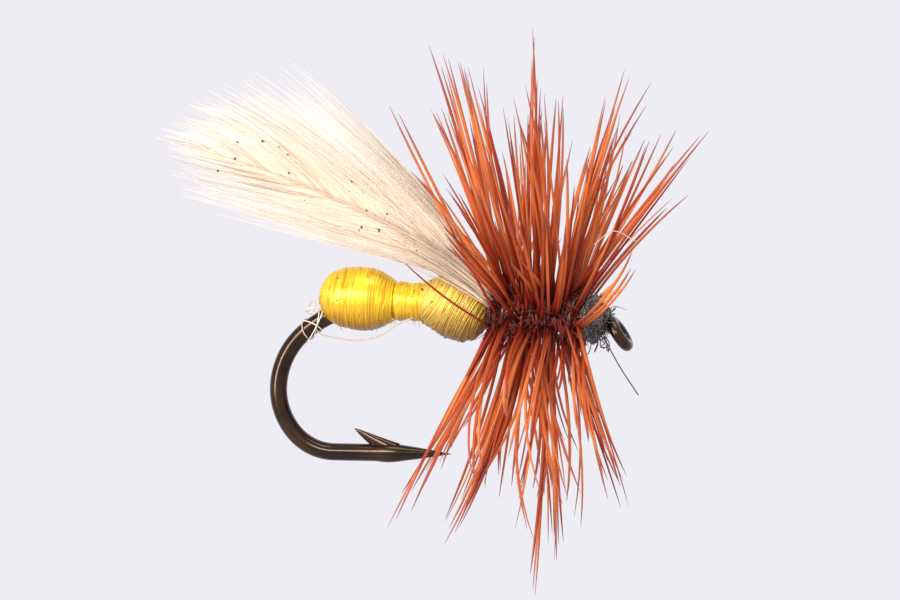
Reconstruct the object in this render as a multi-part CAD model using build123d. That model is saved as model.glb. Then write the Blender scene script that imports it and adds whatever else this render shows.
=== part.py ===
from build123d import *
import math
import os

# A flying-ant dry fly, size 12, in millimetres.
# +X runs along the hook shank towards the eye, +Z is up with the wings on top,
# +Y is the fly's right-hand side.  The origin is the centre of the hook's eye.

# ---------------------------------------------------------------- hook
WIRE_R = 0.315            # forged wire, from the neck to the barb
SHANK_Z = 0.46            # the shank's centre line lies this far above the eye's centre
SHANK_REAR_X = -8.66      # where the straight shank runs into the bend
NECK_X = -1.05            # where the wire starts to thin towards the eye
NECK_TIP_R = 0.2
BEND_RADII = (4.0, 2.8, 2.4, 1.92)   # four tangent arcs, from the shank round to the spear
BEND_TURNS = (45.0, 45.0, 45.0, 47.7)
SPEAR_STRAIGHT = 1.5      # straight wire behind the barb
POINT_LENGTH = 2.75       # from the barb's cut to the sharp tip
POINT_SWELL_R = 0.37      # the point is fattest just ahead of the barb
BARB_LENGTH = 0.82
BARB_RISE = 0.62
BARB_WIDTH = 0.3

# ---------------------------------------------------------------- turned-down eye
EYE_RING_R = 0.5          # to the middle of the ring's wire
EYE_WIRE_R = 0.21
EYE_BORE_R = 0.32
EYE_DOWN_ANGLE = 54.0     # the ring's plane below the shank line

# ---------------------------------------------------------------- body
THREAD_BASE_R = 0.36
BODY_Z = SHANK_Z + 0.22   # the dressing is built up mostly on top of the shank
REAR_BULB = ((-10.93, 0.28), (-10.62, 0.86), (-9.65, 1.15), (-8.72, 1.0), (-8.22, 0.7))
FRONT_BULB = ((-7.12, 0.7), (-6.62, 1.08), (-5.95, 1.32), (-5.25, 1.1), (-4.78, 0.74))
FLOSS_THICKNESS = 0.3

# ---------------------------------------------------------------- thorax, hackle and head
TIE_BAND_X = (-4.77, -4.38)
TIE_BAND_R = 0.8
TIE_BAND_Z = SHANK_Z + 0.09
THORAX_X = (-4.37, -1.24)
THORAX_R = 0.58
HACKLE_TURNS = 7
HACKLE_STEM_R = 0.09
HACKLE_PITCH = 0.42
HACKLE_FIRST_X = -4.28
BARBS_PER_TURN = 13
BARB_ROOT_R = 0.065
BARB_TIP_R = 0.02
HACKLE_REACH_UP = 10.6    # from the shank to the tips above, at the sides and below
HACKLE_REACH_SIDE = 9.2
HACKLE_REACH_DOWN = 10.2
REAR_LEAN = -23.0         # the first turn leans back, the last one forward
FRONT_LEAN = 19.0
FRONT_LEAN_ABOVE = 12.0   # added to the front barbs that stand above the shank
LEAN_SCATTER = 5.0
POINT_CLEARANCE = 1.2     # barbs that lean back below leave the hook's point free
HEAD_PROFILE = ((-1.23, 0.72), (-0.9, 0.7), (-0.62, 0.52), (-0.5, 0.4))
KNOT_X = (-0.49, -0.4)
KNOT_R = 0.33

# ---------------------------------------------------------------- wings
WING_ROOT = (-4.62, 0.36, 1.48)      # the far wing's flexing point; the near one mirrors it
BUTT_RUN = Vector(0.14, 0, -0.42)    # from there the stem is bound down under the thread
BUTT_GAP = 0.12           # the bound part stops this share of its run short of the flexing point
WING_RISE = 31.5          # slope of the stem where it leaves the tie-in
WING_SPLAY = 5.0          # each wing stands out from the fly's middle plane
FAR_WING_LIFT = 4.0       # the far feather is tied a little higher than the near one
STEM_LENGTH = 13.0
STEM_SAG = 2.4            # the tip falls this far below the root's direction
STEM_ROOT_R = 0.09
STEM_TIP_R = 0.02
STEM_RINGS = 11           # round sections that set out the stem, root to tip
VANE_THICKNESS = 0.05
VANE_START = 0.5          # the vane begins this far out along the stem
UPPER_VANE_EDGE = ((1.8, 0.45), (4.4, 1.45), (7.6, 1.85), (10.1, 1.75), (12.1, 0.1))
LOWER_VANE_EDGE = ((1.5, -0.3), (3.2, -0.85), (6.7, -2.2), (9.2, -3.0), (11.4, -3.15))

# ---------------------------------------------------------------- thread ends and cut stems
FILAMENT_R = 0.025
TAG_WRAPS = ((0, 0.98), (1, 0.07), (1, 0.16))     # which bend arc, and how far along it
STRAND_ROUTE = ((-11.0, -0.06, -0.62), (-10.3, -0.1, -0.72), (-9.4, -0.14, -0.78),
                (-8.6, -0.22, -0.56), (-8.0, -0.4, -0.12), (-7.45, -0.66, 0.22))
STRAND_BENDS = (0.8, 2.0, 1.2, 1.2)
HEAD_FIBRE_R = 0.02
HEAD_FIBRES = (((-1.2, -0.1, -0.25), (-0.9, -0.12, -0.62), (-0.62, -0.08, -0.42)),
               ((-1.12, 0.08, -0.26), (-0.84, 0.1, -0.72), (-1.14, 0.14, -0.88)),
               ((-1.0, 0.26, -0.22), (-0.95, 0.3, -0.5), (-0.7, 0.34, -0.6)))
BUTT_R = 0.1              # a feather stem's cut end
BUTTS = (((-0.98, -0.14, 1.27), (-0.04, -0.16, 1.6)), ((-0.95, 0.16, 1.3), (-0.34, 0.2, 1.72)))

SIDES = {"far": 1, "near": -1}
parts = {}


def xz(x, z, y=0.0):
    """A point of the fly's middle plane, or beside it."""
    return Vector(x, y, z)


def tube(path, radius):
    """A round wire of constant radius along a path."""
    start = Plane(origin=path @ 0, z_dir=path % 0)
    return sweep(start * Circle(radius), path=path)


def along(origin, direction):
    """The location whose Z axis points along a direction."""
    return Plane(origin=origin, z_dir=direction).location


def rod(start, end, start_r, end_r):
    """A straight tapered rod between two points."""
    run = end - start
    cone = Cone(start_r, end_r, run.length, align=(Align.CENTER, Align.CENTER, Align.MIN))
    return along(start, run) * cone


def turned(profile, axis_z):
    """A solid of revolution about a line parallel to the shank, from (x, radius) pairs."""
    first_x, last_x = profile[0][0], profile[-1][0]
    curve = Spline(*[xz(x, axis_z + r) for x, r in profile])
    down = Line(curve @ 1, xz(last_x, axis_z))
    back = Line(xz(last_x, axis_z), xz(first_x, axis_z))
    up = Line(xz(first_x, axis_z), curve @ 0)
    half = make_face(Curve() + [curve, down, back, up])
    return revolve(half, axis=Axis((0, 0, axis_z), (1, 0, 0)))


def collar(x_range, outer_r, axis_z):
    """A plain round band about a line parallel to the shank."""
    length = x_range[1] - x_range[0]
    band = Cylinder(outer_r, length, align=(Align.CENTER, Align.CENTER, Align.MIN))
    return along(xz(x_range[0], axis_z), Vector(1, 0, 0)) * band


# ---------------------------------------------------------------- hook
def bend_arcs():
    """The bend's tangent arcs, each given as (start, middle, end), and the spear's direction."""
    heading = 180.0
    here = xz(SHANK_REAR_X, SHANK_Z)
    arcs = []
    for radius, turn in zip(BEND_RADII, BEND_TURNS):
        def reached(angle, start=here, first=heading, r=radius):
            a, b = math.radians(first), math.radians(first + angle)
            return start + xz(r * (math.sin(b) - math.sin(a)), r * (math.cos(a) - math.cos(b)))
        arcs.append((here, reached(turn / 2), reached(turn)))
        here = reached(turn)
        heading += turn
    spear = xz(math.cos(math.radians(heading)), math.sin(math.radians(heading)))
    return arcs, spear


def make_hook():
    """The wire from the neck back: shank, bend, spear, barb and point."""
    arcs, spear = bend_arcs()
    spear_up = xz(-spear.Z, spear.X)
    barb_cut = arcs[-1][2] + spear * SPEAR_STRAIGHT

    runs = [Line(xz(NECK_X, SHANK_Z), xz(SHANK_REAR_X, SHANK_Z))]
    runs += [ThreePointArc(*arc) for arc in arcs]
    runs += [Line(arcs[-1][2], barb_cut)]
    wire = tube(Wire(runs), WIRE_R)

    stations = ((0.0, WIRE_R), (0.35, POINT_SWELL_R), (1.3, 0.25), (POINT_LENGTH - 0.03, 0.02))
    point_plane = Plane(origin=barb_cut, x_dir=spear, z_dir=(0, -1, 0))
    edge = Spline(*[(s, r) for s, r in stations])
    closing = Polyline(edge @ 1, (POINT_LENGTH, 0), (0, 0), edge @ 0)
    point = revolve(point_plane * make_face(Curve() + [edge, closing]), axis=Axis(barb_cut, spear))

    barb_foot = barb_cut + spear * 0.28 + spear_up * 0.12
    barb_tip = barb_cut - spear * (BARB_LENGTH - 0.28) + spear_up * (WIRE_R + BARB_RISE - 0.02)
    run = barb_tip - barb_foot
    foot_plane = Plane(origin=barb_foot, x_dir=(0, 1, 0), z_dir=run)
    tip_plane = Plane(origin=barb_tip, x_dir=(0, 1, 0), z_dir=run)
    barb = loft([foot_plane * Rectangle(BARB_WIDTH, 0.42), tip_plane * Rectangle(0.03, 0.03)])
    return wire + point + barb


def make_hook_eye():
    """The wire's front end: the thinned neck and the turned-down ring."""
    eye_dir = xz(math.cos(math.radians(EYE_DOWN_ANGLE)), -math.sin(math.radians(EYE_DOWN_ANGLE)))
    bore_dir = xz(-eye_dir.Z, eye_dir.X)
    neck_end = xz(-EYE_RING_R * eye_dir.X, SHANK_Z)
    neck = rod(xz(NECK_X, SHANK_Z), neck_end, WIRE_R, NECK_TIP_R)
    ring = along(xz(0, 0), bore_dir) * Torus(EYE_RING_R, EYE_WIRE_R)
    bore = along(xz(0, 0), bore_dir) * Cylinder(EYE_BORE_R, 2 * EYE_WIRE_R)
    return neck + ring - bore


hook = make_hook()
hook_eye = make_hook_eye()
parts["hook"] = hook
parts["hook_eye"] = hook_eye

# ---------------------------------------------------------------- body dressing
thread_base = collar((SHANK_REAR_X, NECK_X - 0.02), THREAD_BASE_R, SHANK_Z) - hook
parts["thread_base"] = thread_base


def make_bulb(profile):
    """A floss bulb: a wound shell over a cotton underbody, both threaded on the shank."""
    inner = [(x + shift, r - FLOSS_THICKNESS) for (x, r), shift in
             zip(profile[1:-1], (0.12, 0.0, -0.06))]
    core = turned(inner, BODY_Z) - hook - thread_base
    shell = turned(profile, BODY_Z) - turned(inner, BODY_Z) - hook - thread_base
    return core, shell


parts["rear_underbody"], parts["rear_bulb_floss"] = make_bulb(REAR_BULB)
parts["front_underbody"], parts["front_bulb_floss"] = make_bulb(FRONT_BULB)
waist = collar((REAR_BULB[-1][0], FRONT_BULB[0][0]), REAR_BULB[-1][1], BODY_Z)
parts["waist_floss"] = waist - hook - thread_base

# ---------------------------------------------------------------- thorax and head
wing_butts = []
for side in SIDES.values():
    root = Vector(WING_ROOT[0], WING_ROOT[1] * side, WING_ROOT[2])
    wing_butts.append(rod(root + BUTT_RUN, root + BUTT_RUN * BUTT_GAP, BUTT_R, STEM_ROOT_R))
parts["wing_stem_butts"] = Compound(wing_butts)
tie_wraps = collar(TIE_BAND_X, TIE_BAND_R, TIE_BAND_Z) - hook - thread_base
for butt in wing_butts:
    tie_wraps -= butt
parts["wing_tie_wraps"] = tie_wraps
parts["thorax_underbody"] = collar(THORAX_X, THORAX_R, SHANK_Z) - hook - thread_base
parts["head_thread"] = turned(HEAD_PROFILE, SHANK_Z) - hook - hook_eye - thread_base
parts["whip_finish_knot"] = collar(KNOT_X, KNOT_R, SHANK_Z) - hook_eye

# ---------------------------------------------------------------- hackle
WOUND_R = THORAX_R + 0.005 + HACKLE_STEM_R     # the quill's centre line, lying on the thorax


def make_hackle_stem():
    """The feather's quill, wound forward round the thorax in open touching turns."""
    helix = Helix(HACKLE_PITCH, HACKLE_PITCH * HACKLE_TURNS, WOUND_R)
    start = Plane(origin=helix @ 0, z_dir=helix % 0)
    quill = sweep(start * Circle(HACKLE_STEM_R), path=helix, is_frenet=True)
    return along(xz(HACKLE_FIRST_X, SHANK_Z), Vector(1, 0, 0)) * quill


def barb_lean(turn, upward, scatter):
    """How far a barb leans forward of upright, in radians: back at the rear, forward in front."""
    forward = turn / (HACKLE_TURNS - 1)
    front = FRONT_LEAN + FRONT_LEAN_ABOVE * max(upward, 0.0)
    return math.radians(REAR_LEAN + (front - REAR_LEAN) * forward + LEAN_SCATTER * scatter)


def barb_reach(upward, sideways, shortening):
    """Distance from the shank to a barb's tip: an oval, with every few barbs a little shorter."""
    reach_z = HACKLE_REACH_UP if upward > 0 else HACKLE_REACH_DOWN
    oval = math.hypot(reach_z * upward, HACKLE_REACH_SIDE * sideways)
    return oval * (1.0 - 0.06 * shortening)


def make_barbs(turn):
    """The stiff barbs of one turn of hackle, standing out all round the hook."""
    barbs = []
    root_x = HACKLE_FIRST_X + HACKLE_PITCH * (turn + 0.5)
    root_r = WOUND_R + HACKLE_STEM_R + 0.005
    for i in range(BARBS_PER_TURN):
        around = math.radians(360.0 * (i + 0.5 + turn * 0.382) / BARBS_PER_TURN)
        up, side = math.sin(around), math.cos(around)
        lean = barb_lean(turn, up, math.sin(2.4 * i + 1.7 * turn))
        outward = Vector(math.sin(lean), side * math.cos(lean), up * math.cos(lean))
        root = Vector(root_x, root_r * side, SHANK_Z + root_r * up)
        tip = root + outward * (barb_reach(up, side, (3 * i + turn) % 4) - root_r)
        if not crosses_hook_point(tip):
            barbs.append(rod(root, tip, BARB_ROOT_R, BARB_TIP_R))
    return Compound(barbs)


def crosses_hook_point(tip):
    """True for a barb whose line back and down would run into the hook's point."""
    return tip.Z < 0 and tip.X < TIE_BAND_X[0] and abs(tip.Y) < POINT_CLEARANCE


parts["hackle_stem"] = make_hackle_stem()
for turn in range(HACKLE_TURNS):
    parts[f"hackle_barbs_turn_{turn + 1}"] = make_barbs(turn)

# ---------------------------------------------------------------- wings
def wing_placement(side):
    """The plane a wing is drawn in: x runs back along the stem, y up across the vane."""
    lift = WING_RISE + (FAR_WING_LIFT if side > 0 else 0.0)
    slope = math.radians(lift)
    back = Vector(-math.cos(slope), 0, math.sin(slope))
    across = Vector(math.sin(slope), 0, math.cos(slope))
    root = Vector(WING_ROOT[0], WING_ROOT[1] * side, WING_ROOT[2])
    back = back.rotate(Axis((0, 0, 0), across), -WING_SPLAY * side)
    return Plane(origin=root, x_dir=back, z_dir=back.cross(across))


def make_wing(side):
    """A hackle-tip wing: a tapering, drooping stem with a thin vane above and below it."""
    plane = wing_placement(side)
    middle = (STEM_LENGTH / 2, -STEM_SAG / 4)
    tip = (STEM_LENGTH, -STEM_SAG)
    line = ThreePointArc((0, 0), middle, tip)
    rings = []
    for step in range(STEM_RINGS):
        share = step / (STEM_RINGS - 1)
        ring_r = STEM_ROOT_R + (STEM_TIP_R - STEM_ROOT_R) * share
        rings.append(Plane(origin=line @ share, z_dir=line % share) * Circle(ring_r))
    stem = loft(rings, ruled=True)
    vanes = []
    for edge_points in (UPPER_VANE_EDGE, LOWER_VANE_EDGE):
        start = line @ (VANE_START / STEM_LENGTH)
        edge = Spline(start, *edge_points, tip)
        inner = ThreePointArc(line @ 1, line @ 0.5, start)
        blank = extrude(make_face(Curve() + [edge, inner]), amount=VANE_THICKNESS / 2, both=True)
        vanes.append(blank - stem)
    return [plane * piece for piece in (stem, *vanes)]


for name, side in SIDES.items():
    stem, upper_vane, lower_vane = make_wing(side)
    parts[f"{name}_wing_stem"] = stem
    parts[f"{name}_wing_upper_vane"] = upper_vane
    parts[f"{name}_wing_lower_vane"] = lower_vane


# ---------------------------------------------------------------- thread ends and cut stems
def make_tag_wraps():
    """Clear filament rings on the wire, just behind the body."""
    arcs, _ = bend_arcs()
    rings = []
    for arc, share in TAG_WRAPS:
        line = ThreePointArc(*arcs[arc])
        ring = Torus(WIRE_R + FILAMENT_R + 0.005, FILAMENT_R)
        rings.append(along(line @ share, line % share) * ring)
    return Compound(rings)


def make_head_fibre(start, middle, end):
    """A short curled end of thread under the head."""
    return tube(ThreePointArc(start, middle, end), HEAD_FIBRE_R)


strand_line = FilletPolyline(*STRAND_ROUTE, radius=list(STRAND_BENDS))
parts["tag_filament_wraps"] = make_tag_wraps()
parts["tag_filament_strand"] = tube(strand_line, FILAMENT_R)
parts["head_loose_fibres"] = Compound([make_head_fibre(*points) for points in HEAD_FIBRES])
parts["hackle_stem_butts"] = Compound([rod(Vector(*a), Vector(*b), HACKLE_STEM_R, BUTT_R) for a, b in BUTTS])

# ---------------------------------------------------------------- output
os.makedirs("parts", exist_ok=True)
for node, shape in parts.items():
    export_step(shape, f"parts/{node}.step")
    print(f"{node}: {len(shape.solids())} solids, {shape.volume:.3f} mm3")
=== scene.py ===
"""A flying-ant dry fly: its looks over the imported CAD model. Lengths are in mm until a mesh is made."""
import math

import bpy
import numpy as np
from mathutils import Matrix, Vector


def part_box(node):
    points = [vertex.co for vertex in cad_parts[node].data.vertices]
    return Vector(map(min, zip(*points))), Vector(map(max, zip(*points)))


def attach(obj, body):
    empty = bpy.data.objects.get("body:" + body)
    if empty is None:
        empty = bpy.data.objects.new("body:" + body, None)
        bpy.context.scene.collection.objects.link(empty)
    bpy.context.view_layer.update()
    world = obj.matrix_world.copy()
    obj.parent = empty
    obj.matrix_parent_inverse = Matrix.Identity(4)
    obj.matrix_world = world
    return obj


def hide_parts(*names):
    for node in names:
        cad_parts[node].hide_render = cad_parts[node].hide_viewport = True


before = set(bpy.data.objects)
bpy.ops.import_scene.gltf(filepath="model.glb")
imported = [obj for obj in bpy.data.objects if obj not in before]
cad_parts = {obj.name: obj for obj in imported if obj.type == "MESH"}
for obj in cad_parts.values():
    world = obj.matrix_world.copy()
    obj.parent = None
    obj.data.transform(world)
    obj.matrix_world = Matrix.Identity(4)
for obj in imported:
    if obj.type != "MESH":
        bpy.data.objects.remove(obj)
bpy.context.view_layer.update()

MM = 0.001
TAU = 2 * math.pi
X_AXIS, Y_AXIS = np.eye(3)[:2]
random = np.random.default_rng(12)


# -------- shapes
def corners(node):
    """The lowest and highest corner of a CAD node, in mm."""
    low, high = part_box(node)
    return np.array(low) / MM, np.array(high) / MM


def unit(vectors):
    """v / |v| along the last axis."""
    return vectors / np.linalg.norm(vectors, axis=-1, keepdims=True)


def curve(knots, at):
    """A smooth line through (place, value) knots: the cubic Hermite span between two neighbours."""
    x, y = np.array(knots, float).T
    slope = np.gradient(y, x)
    i = np.clip(np.searchsorted(x, at) - 1, 0, len(x) - 2)
    h = x[i + 1] - x[i]
    t = np.clip((at - x[i]) / h, 0, 1)
    return (y[i] * (1 + 2 * t) * (1 - t) ** 2 + slope[i] * h * t * (1 - t) ** 2
            + y[i + 1] * t ** 2 * (3 - 2 * t) + slope[i + 1] * h * t ** 2 * (t - 1))


def route(knots, count):
    """One path of `count` points: x, y and z each follow `curve` over the chord length."""
    knots = np.array(knots, float)
    chord = np.r_[0, np.cumsum(np.linalg.norm(np.diff(knots, axis=0), axis=1))]
    at = np.linspace(0, chord[-1], count)
    return np.stack([curve(np.c_[chord, knots[:, k]], at) for k in range(3)], axis=-1)


def bows(start, middle, end, count):
    """Quadratic Bezier paths, many at once: (1-t)^2 start + 2t(1-t) middle + t^2 end."""
    t = np.linspace(0, 1, count)[None, :, None]
    return start[:, None] * (1 - t) ** 2 + 2 * t * (1 - t) * middle[:, None] + end[:, None] * t ** 2


def taper(count, *stops):
    """Radii of `count` rings down a tube, straight between (share of its length, radius) stops."""
    return np.interp(np.linspace(0, 1, count), *zip(*stops))[None]


def rings_along(paths, radii, sides, reference, flat=1.0):
    """Ovals round paths (n, m, 3): P + r (cos a A + flat sin a B), where A is across the path and nearest
    to the reference direction, B = T x A and T is the path's direction."""
    tangent = unit(np.gradient(paths, axis=1))
    reference = np.broadcast_to(np.asarray(reference, float), paths.shape)
    a = unit(reference - np.sum(reference * tangent, axis=-1, keepdims=True) * tangent)
    b = np.cross(tangent, a)
    turn = np.arange(sides) * TAU / sides
    radii = np.broadcast_to(radii, paths.shape[:2])[:, :, None, None]
    return (paths[:, :, None] + radii * (np.cos(turn)[:, None] * a[:, :, None]
                                         + flat * np.sin(turn)[:, None] * b[:, :, None]))


def closed_turn(count):
    """Angles once round a ring, with one more at each end, which trues it and is dropped later."""
    return np.arange(-1, count + 1)[:, None] * TAU / count


def about_x(x, r, a, axis_z, hand=-1):
    """Points at radius r and angle a about a line along X: (x, hand r sin a, axis_z + r cos a)."""
    return np.stack([x, hand * r * np.sin(a), axis_z + r * np.cos(a)], axis=-1)


def turned_rings(stations, radius, axis_z, sides):
    """Rings about a line along X, with r a function of (x, a)."""
    x, a = np.meshgrid(stations, np.arange(sides) * TAU / sides, indexing="ij")
    return about_x(x, radius(x, a), a, axis_z)[None]


def piece(name, rings, material, replaced=(), tone=None, body="root", loop=False):
    """A mesh of tubes from rings (tubes, stations, points, 3), capped at both ends or joined as a loop. It
    moves with `body` and stands in for the CAD nodes in `replaced`. Its UV runs along and around each tube;
    `tone` is one number a tube, and `along` runs from 0 to 1 down it."""
    n, m, k = rings.shape[:3]
    index = np.arange(n * m * k).reshape(n, m, k)
    following = np.roll(index, -1, axis=2)
    spans = m if loop else m - 1
    quads = np.stack([index, following, np.roll(following, -1, axis=1), np.roll(index, -1, axis=1)], axis=-1)
    caps = np.empty((0, k), int) if loop else np.concatenate([index[:, 0, ::-1], index[:, -1]])
    mesh = bpy.data.meshes.new(name)
    mesh.from_pydata((rings.reshape(-1, 3) * MM).tolist(), [],
                     quads[:, :spans].reshape(-1, 4).tolist() + caps.tolist())
    along, around = np.meshgrid(np.linspace(0, 1, m), np.arange(k) / k, indexing="ij")
    step = np.array([[0, 0], [0, 1 / k], [1 / spans, 1 / k], [1 / spans, 0]])
    corner = (np.stack([along, around], axis=-1)[:, :, None] + step)[:spans]
    quad_uv = np.broadcast_to(corner, (n, spans, k, 4, 2)).reshape(-1, 2)
    cap_uv = np.zeros((caps.size, 2))
    mesh.uv_layers.new(name="UVMap").data.foreach_set("uv", np.concatenate([quad_uv, cap_uv]).ravel())
    tones = np.zeros(n) if tone is None else np.asarray(tone)
    for key, value in (("along", along), ("tone", tones[:, None, None])):
        values = np.broadcast_to(value, (n, m, k)).ravel()
        mesh.attributes.new(key, "FLOAT", "POINT").data.foreach_set("value", values)
    mesh.shade_smooth()
    mesh.materials.append(material)
    obj = bpy.data.objects.new(name, mesh)
    bpy.context.collection.objects.link(obj)
    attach(obj, body)
    if replaced:
        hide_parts(*replaced)
    return obj


# -------- materials
FLOSS_PAINTED_SHADE_Z, FLOSS_PAINTED_SHADE_END_Z = -0.4, 0.8  # heights between which the floss's painted underside shade fades out
BARB_GLOW, RUST_GLOW = 0.62, 0.45  # share of light that passes through a barb
PLUM_TIP = (0.3, 0.1, 0.1, 1)


def grey(value):
    """A neutral colour."""
    return (value,) * 3


class Surface:
    """A Principled material and short ways to add nodes to it."""

    def __init__(self, name, **settings):
        self.material = bpy.data.materials.new(name)
        self.material.use_nodes = True
        self.tree = self.material.node_tree
        self.shader = self.tree.nodes["Principled BSDF"]
        for key, value in settings.items():
            self.shader.inputs[key.replace("_", " ")].default_value = value

    def node(self, kind, settings=None, **links):
        """A node with its own settings. Its inputs, by name or as i0, i1..., are sockets or values."""
        made = self.tree.nodes.new(kind)
        for key, value in (settings or {}).items():
            setattr(made, key, value)
        for key, value in links.items():
            socket = made.inputs[int(key[1:])] if key[1:].isdigit() else made.inputs[key]
            if isinstance(value, bpy.types.NodeSocket):
                self.tree.links.new(value, socket)
            else:
                socket.default_value = value
        return made

    def number(self, name):
        """A piece's own attribute, such as `tone` or `along`."""
        return self.node("ShaderNodeAttribute", {"attribute_name": name}).outputs["Fac"]

    def noise(self, scale, detail=2.0, stretch=(1, 1, 1), uv=False):
        """Noise over object coordinates in metres, or over the UV; `stretch` multiplies each axis."""
        where = self.node("ShaderNodeTexCoord").outputs["UV" if uv else "Object"]
        placed = self.node("ShaderNodeMapping", Vector=where, Scale=stretch).outputs[0]
        return self.node("ShaderNodeTexNoise", Vector=placed, Scale=scale, Detail=detail).outputs["Fac"]

    def ramp(self, factor, stops):
        """Colours at places along a factor."""
        made = self.node("ShaderNodeValToRGB", Fac=factor)
        elements = made.color_ramp.elements
        while len(elements) < len(stops):
            elements.new(0.5)
        for element, (place, colour) in zip(elements, stops):
            element.position = place
            element.color = (*colour, 1)
        return made.outputs["Color"]

    def rise(self, factor, start, end):
        """0 up to one place along a factor and 1 from another."""
        return self.ramp(factor, [(start, grey(0)), (end, grey(1))])

    def sum(self, first, second, weight=1.0):
        """first + weight * second, kept between 0 and 1."""
        return self.node("ShaderNodeMath", {"operation": "MULTIPLY_ADD", "use_clamp": True},
                         i0=second, i1=weight, i2=first).outputs[0]

    def product(self, first, second, clamp=False):
        """first * second, kept between 0 and 1 if `clamp` says so."""
        return self.node("ShaderNodeMath", {"operation": "MULTIPLY", "use_clamp": clamp},
                         i0=first, i1=second).outputs[0]

    def mixed(self, factor, first, second, mode="MIX"):
        """Two colours blended, or with another mode combined, by a factor."""
        settings = {"data_type": "RGBA", "blend_type": mode}
        return self.node("ShaderNodeMix", settings, i0=factor, i6=first, i7=second).outputs[2]

    def link(self, output, socket):
        """Joins an output to the shader."""
        self.tree.links.new(output, self.shader.inputs[socket])
        return self

    def bump(self, height, distance, strength=1.0):
        """Roughens the normal by a height, whose full step is `distance` metres."""
        made = self.node("ShaderNodeBump", Height=height, Distance=distance, Strength=strength)
        return self.link(made.outputs[0], "Normal")

    def glow_through(self, colour, share, cover=None):
        """Mixes in a translucent part, for barbs that light passes through; `cover` thins the whole out."""
        glow = self.node("ShaderNodeBsdfTranslucent", Color=colour)
        mix = self.node("ShaderNodeMixShader", i0=share, i1=self.shader.outputs[0], i2=glow.outputs[0])
        if cover is not None:
            clear = self.node("ShaderNodeBsdfTransparent")
            mix = self.node("ShaderNodeMixShader", i0=cover, i1=clear.outputs[0], i2=mix.outputs[0])
        self.tree.links.new(mix.outputs[0], self.tree.nodes["Material Output"].inputs["Surface"])
        return self


def bronzed_wire():
    """Lacquered bronze: a dark metal under a clear coat, faintly clouded."""
    s = Surface("bronzed_wire", Metallic=0.93, Roughness=0.25, Coat_Weight=0.32, Coat_Roughness=0.1)
    clouds = s.ramp(s.noise(900, 3), [(0.3, (0.014, 0.007, 0.003)), (0.7, (0.048, 0.023, 0.01))])
    return s.link(clouds, "Base Color").material


def floss(name, low, middle, high, roughness):
    """Wound floss: streaks that run round the body, and painted shade that turns it a deeper amber towards
    the underside.
    """
    s = Surface(name, Roughness=roughness, Metallic=0.35, Specular_IOR_Level=0.7)
    streak = s.noise(1.0, 3, (60, 3, 1), uv=True)
    broad = s.noise(1400, 2, (1, 0.4, 0.4))
    tone = s.sum(s.sum(streak, broad, 0.45), s.number("tone"), 0.3)
    colour = s.ramp(tone, [(0.38, low), (0.62, middle), (0.95, high)])
    # painted shade: the colour is multiplied by a darker, redder tint towards the bottom of the body
    spot = s.node("ShaderNodeTexCoord").outputs["Object"]
    height = s.node("ShaderNodeSeparateXYZ", i0=spot).outputs["Z"]
    above = s.node("ShaderNodeMapRange", i0=height, i1=FLOSS_PAINTED_SHADE_Z * MM, i2=FLOSS_PAINTED_SHADE_END_Z * MM).outputs[0]
    shade = s.ramp(above, [(0.0, (0.42, 0.3, 0.3)), (1.0, grey(1))])
    s.link(s.mixed(1.0, colour, shade, "MULTIPLY"), "Base Color")
    return s.bump(streak, 0.01 * MM, 0.6).material


def feather_barb():
    """Cream barbs: tan by the root, near white outward."""
    s = Surface("cream_barb", Roughness=0.5, Specular_IOR_Level=0.3)
    tone = s.sum(s.number("tone"), s.noise(500, 2), 0.3)
    root = s.ramp(tone, [(0.1, (0.9, 0.73, 0.54)), (0.6, (1.0, 0.93, 0.84))])
    outer = s.ramp(tone, [(0.1, (0.58, 0.46, 0.37)), (0.4, (0.82, 0.75, 0.67)), (0.9, (0.92, 0.88, 0.82))])
    colour = s.mixed(s.rise(s.number("along"), 0.0, 0.55), root, outer)
    s.link(colour, "Base Color")
    return s.glow_through(colour, BARB_GLOW).material


def feather_web():
    """The film of barbules between the barbs, streaked along them and fading to the vane's edge."""
    s = Surface("cream_web", Roughness=0.6, Specular_IOR_Level=0.2)
    streak = s.noise(1.0, 4, (240, 2.5, 1), uv=True)
    along = s.number("along")
    root = s.ramp(streak, [(0.3, (0.75, 0.54, 0.36)), (0.7, (0.95, 0.84, 0.7))])
    outer = s.ramp(streak, [(0.3, (0.93, 0.85, 0.74)), (0.7, (1.0, 0.98, 0.93))])
    colour = s.mixed(s.rise(along, 0.0, 0.5), root, outer)
    s.link(colour, "Base Color")
    fade = s.ramp(along, [(0.0, grey(0.9)), (0.3, grey(0.75)), (0.55, grey(0.4)), (0.85, grey(0))])
    thin = s.product(fade, s.ramp(streak, [(0.35, grey(0.3)), (0.65, grey(1))]), clamp=True)
    return s.glow_through(colour, BARB_GLOW, s.product(thin, s.number("tone"))).material


def rust_barb():
    """Rust barbs: dark red by the stem, orange along the middle, plum at the tip."""
    s = Surface("rust_barb", Roughness=0.42, Specular_IOR_Level=0.3)
    tone = s.sum(s.number("tone"), s.noise(350, 2), 0.35)
    along = s.number("along")
    middle = s.ramp(tone, [(0.15, (0.34, 0.028, 0.01)), (0.55, (0.58, 0.11, 0.026)),
                           (1.0, (0.77, 0.26, 0.075))])
    deep = s.ramp(along, [(0.02, (0.1, 0.007, 0.005)), (0.16, (0.32, 0.02, 0.008))])
    rooted = s.mixed(s.rise(along, 0.08, 0.45), deep, middle)
    colour = s.mixed(s.rise(along, 0.75, 1.0), rooted, PLUM_TIP)
    s.link(colour, "Base Color")
    return s.glow_through(colour, RUST_GLOW).material


def plain_fibre(name, dark, light, roughness, glow=0.0, **settings):
    """Thread, quill or filament: two tones that follow `tone` and a fine noise."""
    s = Surface(name, Roughness=roughness, **settings)
    colour = s.ramp(s.sum(s.number("tone"), s.noise(2500, 3), 0.5), [(0.2, dark), (0.9, light)])
    s.link(colour, "Base Color")
    if glow:
        s.glow_through(colour, glow)
    return s.material


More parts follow.
